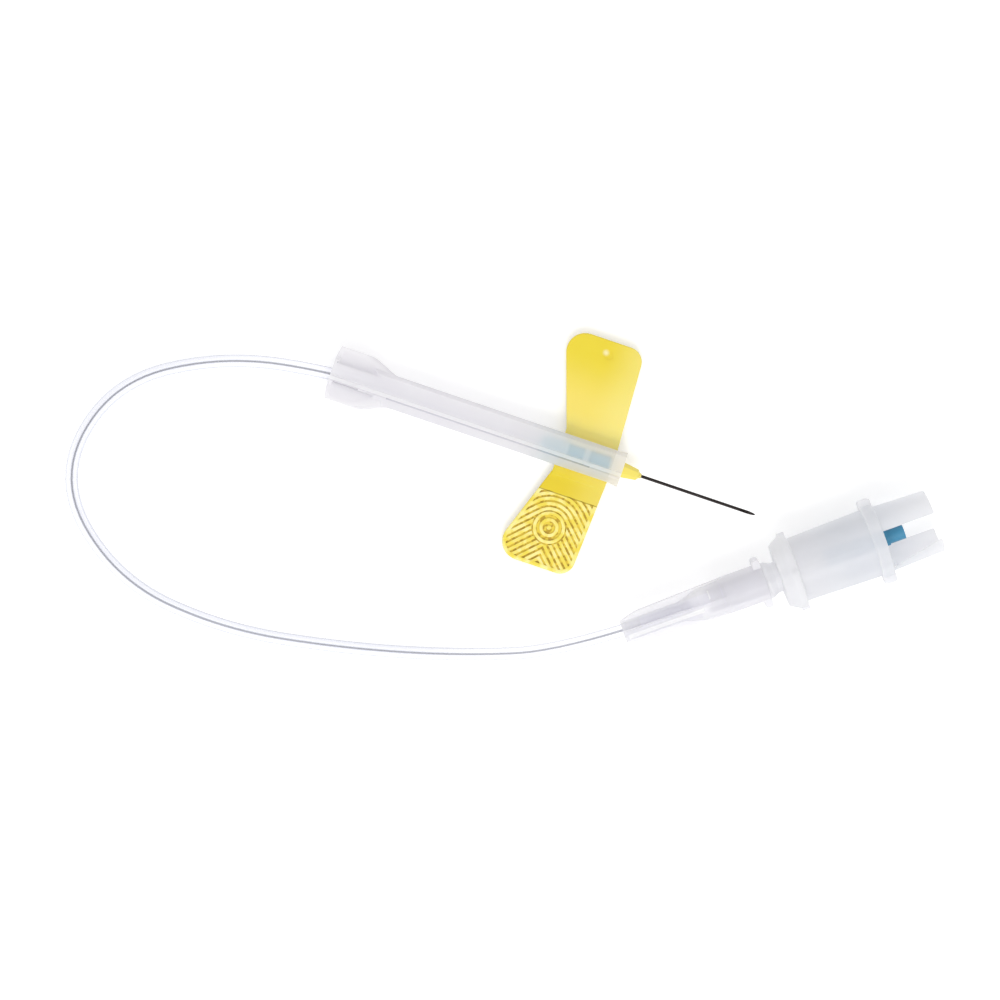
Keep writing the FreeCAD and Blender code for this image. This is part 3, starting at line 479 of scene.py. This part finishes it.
def makeWingRoot(name, side):
    r = rootSettings
    bpy.ops.object.select_all(action="DESELECT")
    bpy.ops.mesh.primitive_cube_add(size=1, location=(
        (r["rear"] + r["front"]) / 2, side * (r["inner"] + r["outer"]) / 2, (r["low"] + r["high"]) / 2))
    root = bpy.context.object
    root.name = name
    bpy.ops.object.mode_set(mode="EDIT")
    bpy.ops.transform.resize(value=(r["front"] - r["rear"], r["outer"] - r["inner"], r["high"] - r["low"]))
    bpy.ops.mesh.subdivide(number_cuts=r["cuts"])
    bpy.ops.object.mode_set(mode="OBJECT")
    bpy.ops.object.transform_apply(location=True, rotation=True, scale=True)
    soften = root.modifiers.new("softEdge", "BEVEL")
    soften.width = r["edge"]
    soften.segments = r["edgeSegments"]
    soften.limit_method = "ANGLE"
    bpy.ops.object.modifier_apply(modifier=soften.name)
    bpy.ops.object.shade_smooth_by_angle(angle=math.radians(r["smoothUnder"]))
    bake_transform(root)
    return root


# bead of glue that closes the nose around the needle
beadSettings = {
    "place": (15.97 * mm, 0.0, 3.0 * mm), "rear": -0.072 * mm, "front": 0.24 * mm,
    "radius": 0.44 * mm, "bore": 0.255 * mm, "steps": 8, "turns": 32, "weld": 0.002 * mm, "smoothUnder": 50,
}


def makeBead():
    # a quarter of an ellipse from the rim to the front, closed along the bore and spun about the needle
    b = beadSettings
    profile = [(b["rear"], b["bore"])]
    for step in range(b["steps"]):
        angle = step * math.pi / (2 * b["steps"])
        profile.append((b["rear"] + (b["front"] - b["rear"]) * math.sin(angle),
                        b["bore"] + (b["radius"] - b["bore"]) * math.cos(angle)))
    profile += [(b["front"], b["bore"]), (b["rear"], b["bore"])]
    lines = [(i, i + 1) for i in range(len(profile) - 1)]
    shape = bpy.data.meshes.new("needleGlueBead")
    shape.from_pydata([(x, 0, radius) for x, radius in profile], lines, [])
    bead = bpy.data.objects.new("needleGlueBead", shape)
    bpy.context.scene.collection.objects.link(bead)
    bpy.ops.object.select_all(action="DESELECT")
    bpy.context.view_layer.objects.active = bead
    bead.select_set(True)
    bpy.ops.object.mode_set(mode="EDIT")
    bpy.ops.mesh.select_all(action="SELECT")
    bpy.ops.mesh.spin(steps=b["turns"], angle=math.tau, center=(0, 0, 0), axis=(1, 0, 0))
    bpy.ops.mesh.select_all(action="SELECT")
    bpy.ops.mesh.remove_doubles(threshold=b["weld"])
    bpy.ops.mesh.normals_make_consistent(inside=False)
    bpy.ops.object.mode_set(mode="OBJECT")
    bpy.ops.object.shade_smooth_by_angle(angle=math.radians(b["smoothUnder"]))
    bead.location = b["place"]
    bpy.ops.object.transform_apply(location=True, rotation=True, scale=True)
    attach(bead, "carrier")
    return bead


tube = makeTube()
print("tube laid")
leftRoot = makeWingRoot("leftWingRoot", 1)
rightRoot = makeWingRoot("rightWingRoot", -1)
print("wing roots joined")
bead = makeBead()
print("glue bead set")

steelMaterial = makeSteel()
wingVinyl = makeVinyl("mouldedSoftPvcWing", vinyl["wing"])
gripVinyl = makeVinyl("mouldedSoftPvcGrip", vinyl["grip"])
adapterMaterial = makeMilky("milkyPolypropyleneAdapter", milky["adapter"])
finishes = (
    (nodes["needle"], steelMaterial, "needle_steel"),
    (nodes["rear_needle"], steelMaterial, "needle_steel"),
    (nodes["needle_hub"], makePaleBlue(), "pale_blue_plastic"),
    (nodes["wing_collar"], makeVinyl("mouldedSoftPvcBody", vinyl["body"]), "yellow_vinyl"),
    (nodes["left_wing"], wingVinyl, "yellow_vinyl"),
    (nodes["right_wing"], gripVinyl, "yellow_vinyl"),
    (nodes["shield"], makeMilky("milkyPolypropyleneShield", milky["shield"]), "milky_plastic"),
    (nodes["tube_hub"], makeMilky("milkyPolypropyleneTaper", milky["taper"]), "milky_plastic"),
    (nodes["adapter_nose"], adapterMaterial, "milky_plastic"),
    (nodes["adapter_body"], adapterMaterial, "milky_plastic"),
    (nodes["valve_sleeve"], makeRubber(), "blue_rubber"),
    (tube, makeClearTube(), "clear_tubing"),
    (leftRoot, wingVinyl, "yellow_vinyl"),
    (bead, makeGlue(), "milky_plastic"),
    (rightRoot, gripVinyl, "yellow_vinyl"),
)
for piece, material, slot in finishes:
    piece.data.materials.clear()
    piece.data.materials.append(material)
print("materials on")

# light: a soft white room and one broad lamp from the near side, weak enough that colours render as written
lightSettings = {
    "worldStrength": 0.97,
    "lampSize": 0.5,
    "lampWatts": 3.5,
    "lampPlace": (0.22, -0.55, 0.75),
}


def seenDirectly(owner):
    # 1 for what is seen straight on, through glass or as a reflection, 0 for the light that it throws
    rays = addNode(owner, "ShaderNodeLightPath").outputs
    straight = compute(owner, "MAXIMUM", rays["Is Camera Ray"], rays["Is Transmission Ray"])
    return compute(owner, "MAXIMUM", straight, rays["Is Glossy Ray"])


def makeRoom():
    world = bpy.data.worlds.new("room")
    bpy.context.scene.world = world
    world.use_nodes = True
    world.node_tree.nodes.clear()
    strength = remap(world, seenDirectly(world), 0.0, 1.0, lightSettings["worldStrength"], 1.0)
    background = addNode(world, "ShaderNodeBackground", inputs={"Strength": strength})
    addNode(world, "ShaderNodeOutputWorld", inputs={"Surface": background.outputs["Background"]})

    lamp = bpy.data.lights.new("softbox", "AREA")
    lamp.size = lightSettings["lampSize"]
    lamp.energy = lightSettings["lampWatts"]
    softbox = bpy.data.objects.new("softbox", lamp)
    bpy.context.scene.collection.objects.link(softbox)
    softbox.location = lightSettings["lampPlace"]
    softbox.rotation_euler = Vector(lightSettings["lampPlace"]).to_track_quat("Z", "Y").to_euler()


# white paper with a faint glow of its own, so that it comes out white under the part
floorSettings = {"size": 6, "colour": "#F4F4F4", "roughness": 0.9, "glow": 0.3}


def makeFloor():
    bpy.ops.mesh.primitive_plane_add(size=floorSettings["size"])
    floor = bpy.context.object
    floor.name = "floor"
    material = emptyMaterial("whitePaper")
    glow = compute(material, "MULTIPLY", seenDirectly(material), floorSettings["glow"])
    shader = addNode(material, "ShaderNodeBsdfPrincipled", inputs={
        "Base Color": linear(floorSettings["colour"]), "Roughness": floorSettings["roughness"],
        "Specular IOR Level": 0.0, "Emission Color": (1, 1, 1, 1), "Emission Strength": glow})
    floor.data.materials.append(surface(material, shader.outputs["BSDF"]))


makeRoom()
makeFloor()
print("room lit")

bpy.context.view_layer.update()
